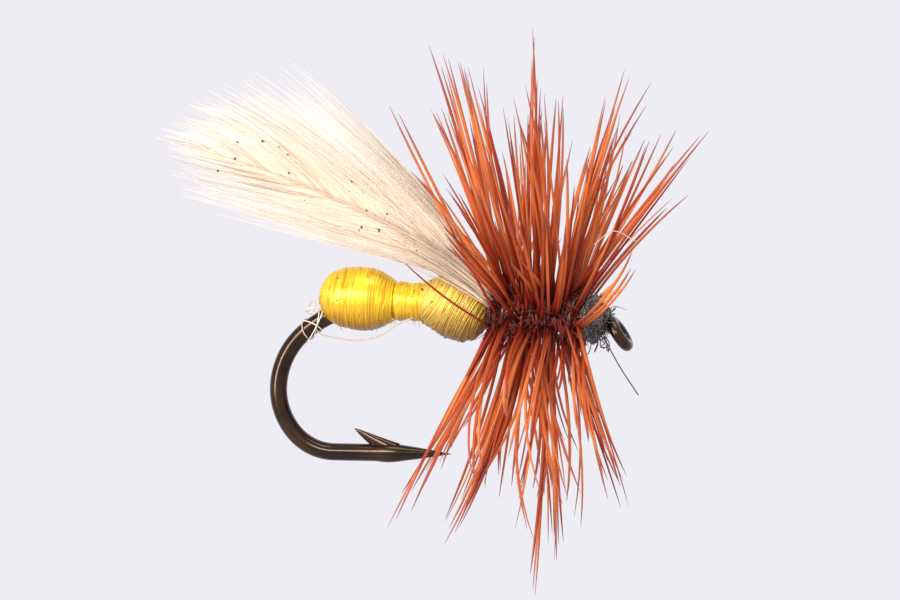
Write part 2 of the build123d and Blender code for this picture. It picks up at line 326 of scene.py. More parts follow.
WIRE = bronzed_wire()
BRIGHT_FLOSS = floss("bright_yellow_floss", (0.18, 0.07, 0.001), (0.54, 0.27, 0.002), (0.9, 0.66, 0.012),
                     roughness=0.28)
DULL_FLOSS = floss("khaki_yellow_floss", (0.13, 0.075, 0.006), (0.4, 0.26, 0.02), (0.68, 0.5, 0.085),
                   roughness=0.36)
BARB, WEB, RUST = feather_barb(), feather_web(), rust_barb()
CREAM_QUILL = plain_fibre("cream_quill", (0.72, 0.56, 0.42), (0.9, 0.8, 0.68), 0.5, glow=0.5)
RUST_QUILL = plain_fibre("rust_quill", (0.035, 0.008, 0.007), (0.24, 0.035, 0.02), 0.3)
RUST_DOWN = plain_fibre("rust_down", (0.05, 0.009, 0.008), (0.34, 0.045, 0.02), 0.5, glow=0.2)
CUT_QUILL = plain_fibre("cut_quill", (0.55, 0.16, 0.04), (0.95, 0.5, 0.16), 0.4, glow=0.2)
THREAD = plain_fibre("black_thread", (0.006, 0.004, 0.004), (0.05, 0.034, 0.03), 0.36,
                     Specular_IOR_Level=0.35)
# the lighter of the head thread's two tones, on random strands and fuzz, is painted glints; its coat is real
# gloss
HEAD_THREAD = plain_fibre("waxed_black_thread", (0.006, 0.004, 0.004), (0.08, 0.058, 0.052), 0.24,
                          Coat_Weight=0.3)
FILAMENT = plain_fibre("clear_filament", (0.5, 0.42, 0.3), (0.8, 0.74, 0.62), 0.15, glow=0.3)
EDGE_BARB = plain_fibre("tan_edge_barb", (0.42, 0.3, 0.22), (0.72, 0.6, 0.5), 0.5, glow=0.4)
YARN = plain_fibre("cotton_yarn", (0.5, 0.34, 0.05), (0.72, 0.55, 0.16), 0.8)
SPECK = plain_fibre("dark_speck", (0.01, 0.008, 0.006), (0.03, 0.02, 0.015), 0.6)


# -------- hook
WIRE_R = 0.315
SHANK_Z = 0.46
SHANK_FRONT_X, SHANK_REAR_X = -0.45, -8.66
NECK_X, NECK_R, NECK_BLEND = -1.05, 0.23, 0.3
BEND = ((4.0, 45.0), (2.8, 45.0), (2.4, 45.0), (1.92, 47.7))  # radius and turn of each arc
STATION = 0.06  # spacing of the wire's rings
SPEAR_STRAIGHT, POINT_LENGTH, TIP_R = 1.5, 2.75, 0.012
POINT_RADII = ((-0.4, WIRE_R), (0, WIRE_R), (0.35, 0.35), (1.3, 0.25))  # place past the point's start
BARB_FOOT, BARB_LENGTH = 0.72, 1.5  # past the point's start, and back from it
BARB_PROUD, BARB_RISE, BARB_CURL = 0.02, 0.72, 0.13
BARB_R, BARB_TIP_R, BARB_FLAT = 0.22, 0.006, 1.6
EYE_TILT, EYE_R, EYE_WIRE_R = 54.0, 0.5, 0.21


def hook_line():
    """The wire's centre line as evenly spaced stations, and its last heading: the shank, four tangent arcs,
    then the spear and point. A station steps (cos, sin) of the heading halfway to the next."""
    spots, heading = [np.array([SHANK_FRONT_X, 0, SHANK_Z])], math.pi
    shank = (0, 0, SHANK_FRONT_X - SHANK_REAR_X)
    spear = (0, 0, SPEAR_STRAIGHT + POINT_LENGTH)
    for radius, turn, length in (shank, *((r, t, 0) for r, t in BEND), spear):
        length = length or radius * math.radians(turn)
        steps = max(int(length / STATION), 1)
        headings = heading + np.linspace(0, math.radians(turn), steps + 1)
        middles = (headings[1:] + headings[:-1]) / 2
        moves = np.stack([np.cos(middles), np.zeros(steps), np.sin(middles)], axis=1) * length / steps
        spots.extend(spots[-1] + np.cumsum(moves, axis=0))
        heading = headings[-1]
    return np.array(spots), heading


def make_hook_wire(line, run, cut):
    """The bent wire: its radius follows `curve` over the run, from the thin neck to a swell where the point
    is cut, and down to the tip."""
    neck = SHANK_FRONT_X - NECK_X
    radii = curve([(0, NECK_R), (neck, WIRE_R), (neck + NECK_BLEND, WIRE_R),
                   *((cut + place, radius) for place, radius in POINT_RADII), (run[-1], TIP_R)], run)
    wire = rings_along(line[None], radii[None], 32, Y_AXIS)
    piece("hook_wire", wire, WIRE, ("hook",))


def make_hook_barb(start, heading):
    """A flat spike raised off the spear: start + (foot - length t) along it + (proud + rise t + curl t^2)
    above it, with a radius that falls as (1 - t)^0.75."""
    spear = np.array([math.cos(heading), 0, math.sin(heading)])
    up = np.array([-spear[2], 0, spear[0]])
    t = np.linspace(0, 1, 14)[:, None]
    line = (start + spear * (BARB_FOOT - BARB_LENGTH * t)
            + up * (BARB_PROUD + BARB_RISE * t + BARB_CURL * t ** 2))
    radii = BARB_R * (1 - t[:, 0]) ** 0.75 + BARB_TIP_R
    barb = rings_along(line[None], radii[None], 20, Y_AXIS, BARB_FLAT)
    piece("hook_barb", barb, WIRE, ())


def make_hook_eye():
    """The closed ring eye about the origin: R (cos t D + sin t Y), with D tilted down from X."""
    tilt = math.radians(EYE_TILT)
    down = np.array([math.cos(tilt), 0, -math.sin(tilt)])
    turn = closed_turn(64)
    ring = EYE_R * (np.cos(turn) * down + np.sin(turn) * Y_AXIS)
    eye = rings_along(ring[None], EYE_WIRE_R, 24, (-down[2], 0, down[0]))[:, 1:-1]
    piece("hook_ring_eye", eye, WIRE, ("hook_eye",), loop=True)


def make_hook():
    """The wire, its barb and its eye."""
    line, heading = hook_line()
    run = np.r_[0, np.cumsum(np.linalg.norm(np.diff(line, axis=0), axis=1))]
    cut = run[-1] - POINT_LENGTH
    make_hook_wire(line, run, cut)
    make_hook_barb(line[np.searchsorted(run, cut)], heading)
    make_hook_eye()


make_hook()


# -------- floss body
BODY_AXIS_Z = 0.68
STRAND_RINGS = 30
TURN_HEIGHTS = 400  # random heights that the turns of a body take one after another
BODY_STATION, BODY_SIDES = 0.009, 160
SHELL_GAP = 0.02  # how far the floss stays inside its CAD node
# outlines of the three bodies: share of the length, share of the widest radius
REAR_SHAPE = ((0, 0.24), (0.035, 0.44), (0.1, 0.67), (0.23, 0.87), (0.45, 0.99), (0.66, 1.0), (0.85, 0.87),
              (1.0, 0.66))
WAIST_SHAPE = ((0, 0.9), (0.08, 0.98), (0.5, 0.97), (0.92, 1.0), (1.0, 0.98))
FRONT_SHAPE = ((0, 0.55), (0.17, 0.73), (0.33, 0.89), (0.5, 0.99), (0.7, 0.98), (0.87, 0.82), (1.0, 0.55))


def lumps(count, reach):
    """Soft unevenness between -1 and 1: the mean of sines sin(w x + k a + p) with random w, k and p."""
    waves = [(random.uniform(-reach, reach), random.integers(-3, 4), random.uniform(0, TAU))
             for _ in range(count)]
    return lambda x, a: sum(np.sin(w * x + k * a + p) for w, k, p in waves) / count


def wraps(name, count, x_range, radius, axis_z, tilt, thick, material):
    """Strands laid round a body: each runs part of the way round in its own tilted plane, x = x0 +
    lean cos(a + turned), just proud of r = radius(x, a), and its ends sink in. `tilt` is the lean, its
    spread and that of `turned`, and `thick` the range of radii."""
    lean_mean, lean_spread, turned_spread = tilt
    steps = np.linspace(0, 1, STRAND_RINGS)
    sunk = np.sin(np.linspace(0, math.pi, STRAND_RINGS)) ** 0.6
    angle = random.uniform(0, TAU, count)[:, None] + steps * random.uniform(1.8, 4.6, count)[:, None]
    lean = random.normal(lean_mean, lean_spread, count)[:, None]
    turned = random.normal(0, turned_spread, count)[:, None]
    start = random.uniform(*x_range, count)[:, None]
    x = np.clip(start + lean * np.cos(angle + turned), x_range[0] + 0.01, x_range[1] - 0.01)
    width = random.uniform(*thick, count)[:, None]
    r = radius(x, angle) + width * (1.1 * sunk - 0.7)
    rings = rings_along(about_x(x, r, angle, axis_z), width * (0.4 + 0.6 * sunk), 5, X_AXIS)
    piece(name, rings, material, (), random.uniform(-0.35, 1.0, count))


def floss_body(name, node, shape, material, slant, ridge, depth, count):
    """Wound floss over a bulb: r = profile(x) (1 + lumps) + the ridge of each turn. The turns lie in planes
    tilted so that they stand `slant` mm further forward on top: x - slant cos a is constant along one. A
    turn is `ridge` mm wide and up to `depth` mm proud, and `count` loose filaments lie over them."""
    low, high = corners(node)
    centre = (low[2] + high[2]) / 2
    widest = (high[2] - low[2]) / 2 - SHELL_GAP
    length = high[0] - low[0]
    knots = [(low[0] + place * length, share * widest) for place, share in shape]
    uneven = lumps(7, 5.0)
    turns = random.uniform(0, 1, TURN_HEIGHTS)

    def radius(x, a):
        phase = (x - low[0] - slant * np.cos(a) + length) / ridge
        rank = np.floor(phase).astype(int) % TURN_HEIGHTS
        bead = np.abs(np.sin(math.pi * phase)) ** 0.7
        return curve(knots, x) * (1 + 0.014 * uneven(x, a)) + depth * bead * (0.3 + 0.7 * turns[rank])

    rings = turned_rings(np.linspace(low[0], high[0], int(length / BODY_STATION)), radius, centre, BODY_SIDES)
    piece(name, rings, material, (node,))
    wraps(name + "_filaments", count, (low[0], high[0]), radius, centre, (slant, 0.09, 0.2),
          (0.008, depth + 0.01), material)


floss_body("rear_bulb", "rear_bulb_floss", REAR_SHAPE, BRIGHT_FLOSS,
           slant=0.07, ridge=0.05, depth=0.004, count=150)
floss_body("body_waist", "waist_floss", WAIST_SHAPE, BRIGHT_FLOSS,
           slant=0.04, ridge=0.06, depth=0.009, count=50)
floss_body("front_bulb", "front_bulb_floss", FRONT_SHAPE, DULL_FLOSS,
           slant=0.62, ridge=0.12, depth=0.028, count=190)


# -------- wings
WING_ROOT = np.array([-4.62, 0.36, 1.48])
WING_RISE, FAR_WING_LIFT, WING_SPLAY = 31.5, 4.0, 5.0
FAR_WING_SPREAD = -0.075  # the far feather's barbs stand a little closer to its stem
STEM_LENGTH, STEM_SAG = 13.0, 2.4
BARBED_SHARE = 0.86  # of the stem
WING_BARBS, CLUMP = 180, 8  # barbs on each side of a stem, and those that part together
UPPER_BOW, LOWER_BOW = 0.085, -0.03
WEB_PATHS, WEB_POINTS, WEB_HALF, WEB_CUP = 90, 16, 0.006, 0.0625
BARB_RINGS, BARB_CUP = 10, 0.06
# where the barbs end: share of the way out, distance back from the root and height above its line
UPPER_RIM = ((0, 9.9, 2.3), (0.3, 11.2, 1.5), (0.5, 12.0, 0.5), (0.7, 12.5, -0.4), (0.85, 12.8, -1.3),
             (1, 13.1, -2.35))
LOWER_RIM = ((0, 10.2, -3.3), (0.3, 11.1, -3.35), (0.5, 11.7, -3.1), (0.75, 12.4, -2.8), (1, 13.1, -2.45))
# the near feather's down: its first root, middle and tip, and how far each shifts to the last
DOWN_ROOT, DOWN_ROOT_SHIFT = (-4.66, -1.06, 0.75), (0.05, 0.25, 0.6)
DOWN_MIDDLE, DOWN_MIDDLE_SHIFT = (-1.3, -0.64, 1.0), (0.2, 0.1, 0.3)
DOWN_TIP, DOWN_TIP_SHIFT = (-4.3, -0.2, 2.1), (0.4, 0.1, 0.8)


def wing_axes(side):
    """A wing's root, and its directions back along the stem, up across the vane, and out of the vane."""
    rise = math.radians(WING_RISE + (FAR_WING_LIFT if side > 0 else 0))
    splay = math.radians(WING_SPLAY)
    level = np.array([-math.cos(rise), 0, math.sin(rise)])
    back = math.cos(splay) * level + side * math.sin(splay) * Y_AXIS
    across = np.array([math.sin(rise), 0, math.cos(rise)])
    return WING_ROOT * (1, side, 1), back, across, np.cross(back, across)


def stem_height(s):
    """How far the stem sags below the straight line it sets out on: -sag (s / length)^2."""
    return -STEM_SAG * (s / STEM_LENGTH) ** 2


def barb_field(start, upward, spread=0.0):
    """Root, middle and tip of barbs in a wing's (s, h) plane. Barbs hug the stem like a brush: the share
    u = start / length of the way out sets where on the feather's rim a barb ends, and it bows outward."""
    u = np.clip(start / STEM_LENGTH, 0, 1)
    start = STEM_LENGTH * BARBED_SHARE * u ** 1.5
    places, backs, heights = zip(*(UPPER_RIM if upward else LOWER_RIM))
    tip = np.stack([curve([*zip(places, backs)], u), curve([*zip(places, heights)], u)], axis=-1)
    root = np.stack([start, stem_height(start)], axis=-1)
    run = tip - root
    turn = np.broadcast_to(spread, u.shape)[:, None]
    across = np.stack([-run[:, 1], run[:, 0]], axis=-1)
    tip = tip + turn * across
    bow = UPPER_BOW if upward else LOWER_BOW
    middle = root + 0.42 * run + (bow + 0.35 * turn) * across
    return root, middle, tip


def lift_out(flat, axes, depth):
    """Points (s, h) of a wing's plane, and a depth out of it, as points of the fly."""
    root, back, across, out = axes
    return root + flat[..., :1] * back + flat[..., 1:] * across + depth[..., None] * out


def make_web(name, edge, axes, spread):
    """A film a hundredth thick: barb paths side by side as a grid, with a top and an underside."""
    upward = edge == "upper"
    start = np.linspace(0.4, STEM_LENGTH - 0.35, WEB_PATHS)
    flat = bows(*barb_field(start, upward, spread), WEB_POINTS)
    sheet = lift_out(flat, axes, WEB_CUP * (flat[..., 1] - stem_height(flat[..., 0])))
    half = WEB_HALF * axes[3] * (1 if upward else -1)
    n, m = sheet.shape[:2]
    rings = np.concatenate([sheet + half, (sheet - half)[:, ::-1]], axis=1)[None]
    web = piece(f"{name}_{edge}_web", rings[:, :, ::-1], WEB, (f"{name}_{edge}_vane",),
                body=name)
    along = np.tile(np.concatenate([np.linspace(0, 1, m), np.linspace(1, 0, m)])[::-1], n)
    rank = np.repeat(np.linspace(0, 1, n), 2 * m)
    cover = np.repeat(np.clip(np.linspace(0, 5, n), 0, 1), 2 * m)
    web.data.attributes["along"].data.foreach_set("value", along)
    web.data.attributes["tone"].data.foreach_set("value", cover)
    loops = np.zeros(len(web.data.loops), int)
    web.data.loops.foreach_get("vertex_index", loops)
    uv = np.stack([rank[loops], along[loops]], axis=-1)
    web.data.uv_layers[0].data.foreach_set("uv", uv.ravel())


def make_quill(name, axes):
    """A feather's tapering stem."""
    s = np.linspace(-0.1, STEM_LENGTH, 60)
    line = lift_out(np.stack([s, stem_height(s)], axis=-1), axes, np.zeros(60))
    thick = np.interp(s, (0, 1, STEM_LENGTH), (0.09, 0.05, 0.012))
    piece(f"{name}_quill", rings_along(line[None], thick[None], 12, axes[3]), CREAM_QUILL,
          (f"{name}_stem",), body=name)


def make_barbs(name, edge, axes, spread):
    """The barbs on one side of a stem: they part into clumps, end unevenly and stray out of the vane, and
    those two thirds of the way out are darker."""
    start = np.sort(random.uniform(0.35, STEM_LENGTH - 0.15, WING_BARBS))
    clump = np.repeat(random.normal(0, 0.032, WING_BARBS // CLUMP + 1), CLUMP)[:WING_BARBS]
    fanned = spread + clump + random.normal(0, 0.016, WING_BARBS)
    root, middle, tip = barb_field(start, edge == "upper", fanned)
    stretch = (1.02 - 0.55 * random.uniform(0, 1, WING_BARBS))[:, None]
    flat = bows(root, root + (middle - root) * stretch, root + (tip - root) * stretch, BARB_RINGS)
    cup = BARB_CUP * (flat[..., 1] - stem_height(flat[..., 0]))
    stray = random.normal(0, 0.1, WING_BARBS)[:, None] * np.linspace(0, 1, BARB_RINGS) ** 2
    radii = taper(BARB_RINGS, (0, 0.018), (0.25, 0.016), (0.6, 0.009), (1, 0.0025))
    radii = radii * random.uniform(0.75, 1.2, WING_BARBS)[:, None]
    rings = rings_along(lift_out(flat, axes, cup + stray), radii, 4, axes[3], 1.3)
    tone = random.uniform(0, 1, WING_BARBS) ** 0.7 - 0.3 * np.exp(-((start - 9.5) / 2.2) ** 2)
    piece(f"{name}_{edge}_barbs", rings, BARB, (), tone, name)


def make_wing(name, side, spread):
    """A feather: a stem, two films of web and hundreds of barbs that part into frayed tips."""
    axes = wing_axes(side)
    make_quill(name, axes)
    for edge in ("upper", "lower"):
        make_web(name, edge, axes, spread)
        make_barbs(name, edge, axes, spread)


def make_wing_down(count):
    """Soft barbs at the near feather's foot: bows whose root, middle and tip lie t of the way along short
    lines."""
    t = random.uniform(0, 1, count)[:, None]
    root = np.array(DOWN_ROOT) + t * DOWN_ROOT_SHIFT + random.normal(0, 0.04, (count, 3))
    reach = random.uniform(0.5, 1.1, count)[:, None]
    middle = root + reach * (DOWN_MIDDLE + t * DOWN_MIDDLE_SHIFT) + random.normal(0, 0.05, (count, 3))
    tip = root + reach * (DOWN_TIP + t * DOWN_TIP_SHIFT) + random.normal(0, 0.1, (count, 3))
    radii = taper(10, (0, 0.022), (0.4, 0.018), (1, 0.003))
    piece("near_wing_down", rings_along(bows(root, middle, tip, 10), radii, 4, Y_AXIS), BARB, (),
          random.uniform(-0.3, 0.6, count), "near_wing")


make_wing("near_wing", -1, 0.0)
make_wing("far_wing", 1, FAR_WING_SPREAD)
make_wing_down(64)


# -------- hackle
HACKLE_TURNS = 7
HACKLE_FRONT_X, HACKLE_REAR_X = -1.45, -4.5
STEM_COIL_R, STEM_R, COIL_POINTS = 0.675, 0.13, 260
TUFT = 3  # barbs that cling together
STRAY_LEAN, STEEP_LEAN = 18, 16  # tufts that lean less than the second may stray by the first
SWING_SPREAD, SWING_LIMIT, SEAT_LIMIT = 36, 74, 125
HACKLE_RINGS = 10
# each bunch: share of the tufts, lean from upright in degrees, its spread, and reach in mm
UPPER_BUNCHES = ((0.06, -26, 1.6, 9.9), (0.26, -16.5, 1.7, 10.7), (0.32, -4, 2.4, 10.6),
                 (0.24, 13, 2.8, 10.3), (0.10, 33, 5.5, 9.5))
LOWER_BUNCHES = ((0.12, -23, 2.2, 8.7), (0.3, -10, 3.0, 9.2), (0.34, 1, 3.4, 9.7), (0.18, 13, 3.0, 8.3),
                 (0.04, 22, 2.0, 7.6))
# each half: bunches, tufts, the way it faces, the chances that a tuft strays to the rear, not at all and to
# the front, how much shorter its shortest tuft is, and how far the barbs bow
UPPER_HALF = (UPPER_BUNCHES, 58, 0, (0.05, 0.9, 0.05), 0.46, 0.021)
LOWER_HALF = (LOWER_BUNCHES, 42, 180, (0.07, 0.83, 0.1), 0.36, 0.045)
# roots, middles and tips of the two barbs that lie across the body
CROSSING_BARBS = (((-4.6, -0.9, 0.1), (-4.3, -0.9, 0.4)), ((-6.0, -1.9, 0.9), (-5.2, -1.6, 2.0)),
                  ((-7.6, -1.9, 2.25), (-6.45, -1.8, 4.35)))


def outward(angle):
    """Directions away from the shank at an angle from upright: (0, sin a, cos a)."""
    return np.stack([np.zeros(len(angle)), np.sin(angle), np.cos(angle)], axis=-1)


def barb_way(lean, swing):
    """cos(lean) outward(swing) + sin(lean) X."""
    return np.cos(lean)[:, None] * outward(swing) + np.sin(lean)[:, None] * X_AXIS


def hackle_tufts(bunches, tufts, facing, strays, shorter, bowed):
    """Each tuft's rank along the hackle, lean, swing, reach, seat round the stem and bow. The lean is as
    seen from the side, so that tufts which swing outward keep their bunch's line."""
    share, lean, spread, reach = np.array(bunches).T
    ends = np.cumsum(share / share.sum())
    place = (np.arange(tufts) + 0.5) / tufts
    chosen = np.minimum(np.searchsorted(ends, place), len(bunches) - 1)
    across = 1 - 2 * (ends[chosen] - place) / (share[chosen] / share.sum())
    rank = (np.argsort(np.argsort(lean[chosen] + random.normal(0, 3, tufts))) + 0.5) / tufts
    stray = random.choice((-STRAY_LEAN, 0, STRAY_LEAN), tufts, p=strays)
    lean = lean[chosen] + spread[chosen] * (1.5 * across + random.normal(0, 0.5, tufts))
    lean = lean + stray * (np.abs(lean) < STEEP_LEAN)
    swing = np.clip(random.normal(0, SWING_SPREAD, tufts), -SWING_LIMIT, SWING_LIMIT)
    lean = np.degrees(np.arctan(np.tan(np.radians(lean)) * np.cos(np.radians(swing))))
    side = np.sign(swing)
    reach = reach[chosen] * (1 - shorter * random.uniform(0, 1, tufts) ** 1.7)
    bow = random.normal(0, bowed, tufts)[:, None] * X_AXIS
    bow = bow + random.normal(0, 0.014, (tufts, 3))
    seat = facing + side * random.uniform(0, SEAT_LIMIT, tufts)
    return rank, lean, swing + facing, reach, seat, bow


def hackle_barbs(half):
    """Root, middle and tip of barbs on one half of the hackle, with the hackle turn each belongs to. The
    barbs of a tuft close on it towards the tip."""
    rank, lean, swing, reach, seat, bow = (np.repeat(v, TUFT, axis=0) for v in hackle_tufts(*half))
    count = len(rank)
    scatter = random.normal(0, 1, (4, count))
    early = barb_way(np.radians(lean + 2.5 * scatter[0]), np.radians(swing + 5 * scatter[1]))
    late = barb_way(np.radians(lean + 1.2 * scatter[2]), np.radians(swing + 1.6 * scatter[3]))
    x = HACKLE_REAR_X + (HACKLE_FRONT_X - HACKLE_REAR_X) * rank + random.normal(0, 0.16, count)
    length = (reach * random.uniform(0.74, 1.02, count))[:, None]
    out = outward(np.radians(seat + random.normal(0, 8, count)))
    root = np.stack([x, np.zeros(count), np.full(count, SHANK_Z)], axis=-1) + out * (STEM_COIL_R + 0.06)
    middle = root + length * (early * 0.22 + late * 0.26 + bow) + 0.25 * out
    tip = root + length * (late - bow * 0.6)
    return root, middle, tip, (rank * HACKLE_TURNS).astype(int)


def make_hackle_turns():
    """The hackle's barbs: flat ovals that taper to hairs, one piece for each turn."""
    halves = [hackle_barbs(UPPER_HALF), hackle_barbs(LOWER_HALF)]
    root, middle, tip, turn = (np.concatenate(parts) for parts in zip(*halves))
    count = len(root)
    radii = taper(HACKLE_RINGS, (0, 0.046), (0.12, 0.058), (0.5, 0.058), (0.86, 0.04), (1, 0.006))
    radii = radii * random.uniform(0.65, 1.25, count)[:, None]
    facing = X_AXIS + 0.2 * random.normal(0, 1, (count, 1, 3))
    rings = rings_along(bows(root, middle, tip, HACKLE_RINGS), radii, 6, facing, 0.6)
    tone = random.uniform(0, 1, count)
    for number in range(HACKLE_TURNS):
        mine = turn == number
        piece(f"hackle_turn_{number + 1}", rings[mine], RUST, (f"hackle_barbs_turn_{number + 1}",),
              tone[mine])


def make_crossing_barbs():
    """Two barbs that have slipped back over the body."""
    paths = bows(*(np.array(ends) for ends in CROSSING_BARBS), 12)
    radii = taper(12, (0, 0.05), (0.6, 0.044), (1, 0.02))
    piece("hackle_crossing_barbs", rings_along(paths, radii, 6, X_AXIS, 0.6), RUST, (),
          [-0.3, -0.2])


def make_hackle_quill():
    """The hackle's own stem, a helix round the thorax."""
    angle = np.linspace(0, HACKLE_TURNS * TAU, COIL_POINTS)
    x = np.linspace(HACKLE_REAR_X - 0.06, HACKLE_FRONT_X + 0.3, COIL_POINTS)
    coil = about_x(x, STEM_COIL_R, angle, SHANK_Z, hand=1)
    piece("hackle_quill", rings_along(coil[None], STEM_R, 12, X_AXIS), RUST_QUILL, ("hackle_stem",))


make_hackle_turns()
make_crossing_barbs()
make_hackle_quill()


# -------- thread and head
BAND_R, BAND_TURNS_R = 0.72, 0.73
THORAX_R, CROSS_TURNS_R = 0.55, 0.7


def wound_thread(name, profile, axis_z, pitch, thickness, material, nodes):
    """Thread wound along a cone: a helix of tube round (x, profile(x)), a little uneven."""
    rear, front = profile[0][0], profile[-1][0]
    turns = abs(front - rear) / pitch
    count = int(turns * 30)
    angle = np.linspace(0, turns * TAU, count)
    x = np.linspace(rear, front, count) + 0.25 * pitch * np.sin(angle * 0.37 + 1)
    line = about_x(x, curve(profile, x) + 0.015 * np.sin(angle * 0.61), angle, axis_z, hand=1)
    piece(name, rings_along(line[None], thickness, 8, X_AXIS), material, nodes)


def fuzz(name, origin, direction, length, radius, curl, material):
    """Short curling fibres that stand out from a surface."""
    count = len(origin)
    length = length[:, None]
    bend = random.normal(0, curl, (count, 3)) * length
    middle = origin + direction * length * 0.5 + bend
    tip = origin + direction * length - bend * 0.4 + random.normal(0, curl, (count, 3)) * length
    radii = taper(7, (0, 1), (0.6, 0.8), (1, 0.3)) * radius
    rings = rings_along(bows(origin, middle, tip, 7), radii, 4, direction[:, None] + (0.3, 0.5, 0.2))
    piece(name, rings, material, (), random.uniform(0, 1, count))


def around_axis(count, x_low, x_high, radius, axis_z):
    """Random places on a cone round the shank, and their outward directions."""
    x, out = random.uniform(x_low, x_high, count), outward(random.uniform(0, TAU, count))
    return np.stack([x, np.zeros(count), np.full(count, axis_z)], axis=-1) + out * radius(x)[:, None], out


def make_tie_band():
    """The band that ties the wings in: a drum with thread wound over it."""
    low, high = corners("wing_tie_wraps")
    axis_z = (low[2] + high[2]) / 2
    core = turned_rings(np.linspace(low[0], high[0], 12), lambda x, a: BAND_R + 0 * x, axis_z, 48)
    piece("tie_band", core, THREAD, ("wing_tie_wraps",))
    wound_thread("tie_band_turns", [(low[0], BAND_TURNS_R), (high[0], BAND_TURNS_R)], axis_z, 0.09, 0.05,
                 RUST_QUILL, ())


def make_thorax(rough):
    """The lumpy thorax under the hackle, and rust strands that cross over it."""
    low, high = corners("thorax_underbody")
    core = turned_rings(np.linspace(low[0], high[0], 90), lambda x, a: THORAX_R + 0.03 * rough(x, a),
                        SHANK_Z, 64)
    piece("thorax", core, RUST_QUILL, ("thorax_underbody",))
    wraps("hackle_cross_turns", 90, (low[0], high[0]), lambda x, a: CROSS_TURNS_R + 0.06 * rough(x, a),
          SHANK_Z, (0.05, 0.2, 2.0), (0.025, 0.06), RUST_QUILL)


def make_head(rough):
    """The thread head: a lumpy cone that narrows to the eye, and turns of thread laid over it."""
    low, high = corners("head_thread")
    cone = [(low[0] - 0.2, 0.8), (low[0] + 0.3, 0.78), (high[0] - 0.2, 0.58), (high[0], 0.38)]

    def head_radius(x, a):
        return curve(cone, x) + 0.32 * rough(x, a)

    core = turned_rings(np.linspace(low[0], high[0], 60), head_radius, SHANK_Z, 64)
    piece("head_core", core, HEAD_THREAD, ("head_thread",))
    wraps("head_turns", 190, (low[0] - 0.12, high[0] + 0.1), head_radius, SHANK_Z, (0.5, 0.3, 0.8),
          (0.018, 0.055), HEAD_THREAD)


def make_knot():
    """The closing knot's turns against the eye."""
    low, high = corners("whip_finish_knot")
    wound_thread("knot_turns", [(low[0], 0.3), (high[0], 0.28)], SHANK_Z, 0.03, 0.035, THREAD,
                 ("whip_finish_knot",))


def shank_fuzz(name, count, x_range, cone, sideways, upright, lengths, radius, curl, material):
    """Fibres that stand off a cone round the shank and lean along it by up to `sideways`, the first
    `upright` of them up and forward."""
    origin, out = around_axis(count, *x_range, lambda x: np.interp(x, *cone), SHANK_Z)
    lean = unit(out + sideways * X_AXIS * random.uniform(-1, 1, (count, 1)))
    lean[:upright] = unit(lean[:upright] + (0.7, 0, 1.2))
    fuzz(name, origin, lean, random.uniform(*lengths, count), radius, curl, material)


make_tie_band()
thread_lumps = lumps(9, 14)
make_thorax(thread_lumps)
make_head(thread_lumps)
make_knot()
shank_fuzz("head_fuzz", 300, (-1.4, -0.3), ((-1.3, -0.45), (0.74, 0.36)), sideways=1.6, upright=70,
           lengths=(0.06, 0.34), radius=0.02, curl=0.55, material=HEAD_THREAD)
shank_fuzz("hackle_down", 1500, (-4.78, -1.3), ((-4.8, -4.4), (0.8, 0.66)), sideways=0.9, upright=0,
           lengths=(0.15, 0.7), radius=0.013, curl=0.14, material=RUST_DOWN)


# -------- loose ends
HEAD_CURLS = 6
CUT_STEM_STARTS = ((-0.75, -0.14, 1.15), (-0.8, 0.16, 1.25), (-0.75, -0.3, 1.1))
CUT_STEM_ENDS = ((-0.04, -0.16, 1.6), (-0.34, 0.2, 1.72), (-0.35, -0.34, 1.3))
CUT_STEM_RADII = ((0.075,), (0.06,), (0.045,))
FILAMENT_ROUTE = ((-11.05, -0.3, -0.3), (-10.9, -0.2, -0.62), (-10.3, -0.15, -0.78), (-9.4, -0.15, -0.82),
                  (-8.6, -0.3, -0.56), (-8.0, -0.5, -0.12), (-7.4, -0.78, 0.2))
STRAND_R, LOOP_R = 0.025, 0.02
# each ring: stations behind the body, tilt and gap along the wire, radius, and shift of its centre
FILAMENT_RINGS = ((2, 1.0, 0.35, 0.36, (0, 0, 0)), (5, -0.5, 0.5, 0.35, (0, 0, 0)),
                  (8, 0.25, -0.4, 0.36, (0, 0, 0)), (3, 1.6, 0.7, 0.4, (0, -0.02, 0.05)),
                  (1, 0.8, 0.9, 0.2, (-0.2, -0.25, 0.55)), (2, -1.2, 1.2, 0.15, (-0.1, -0.28, 0.5)))


def make_head_curls():
    """Curled thread ends under the head: each drops, then hooks back up."""
    curls = []
    for number in range(HEAD_CURLS):
        start = np.array([-1.2 + 0.12 * number, random.uniform(-0.3, 0.3), 0.02])
        down = np.array([random.uniform(-0.1, 0.5), random.uniform(-0.1, 0.1), -random.uniform(0.45, 0.85)])
        hook_end = start + down + (random.uniform(-0.5, 0.3), 0, random.uniform(-0.1, 0.35))
        curls.append(route([start, start + down * 0.6 + (0.15, 0, 0), start + down, hook_end], 24))
    piece("head_curls", rings_along(np.array(curls), 0.02, 6, Y_AXIS), THREAD,
          ("head_loose_fibres",), random.uniform(0, 1, HEAD_CURLS))


def make_cut_stems():
    """Three cut ends of feather stem above the head, bowed up a little."""
    starts, ends = np.array(CUT_STEM_STARTS), np.array(CUT_STEM_ENDS)
    stems = bows(starts, (starts + ends) / 2 + (0, 0, 0.04), ends, 10)
    piece("cut_stems", rings_along(stems, np.array(CUT_STEM_RADII), 12, Y_AXIS), CUT_QUILL,
          ("hackle_stem_butts",), [0.6, 0.3, 0.9])


def make_filament_strand():
    """The clear filament's loose strand, which hangs under the rear bulb."""
    strand = route(FILAMENT_ROUTE, 60)
    piece("filament_strand", rings_along(strand[None], STRAND_R, 8, Y_AXIS), FILAMENT,
          ("tag_filament_strand",))


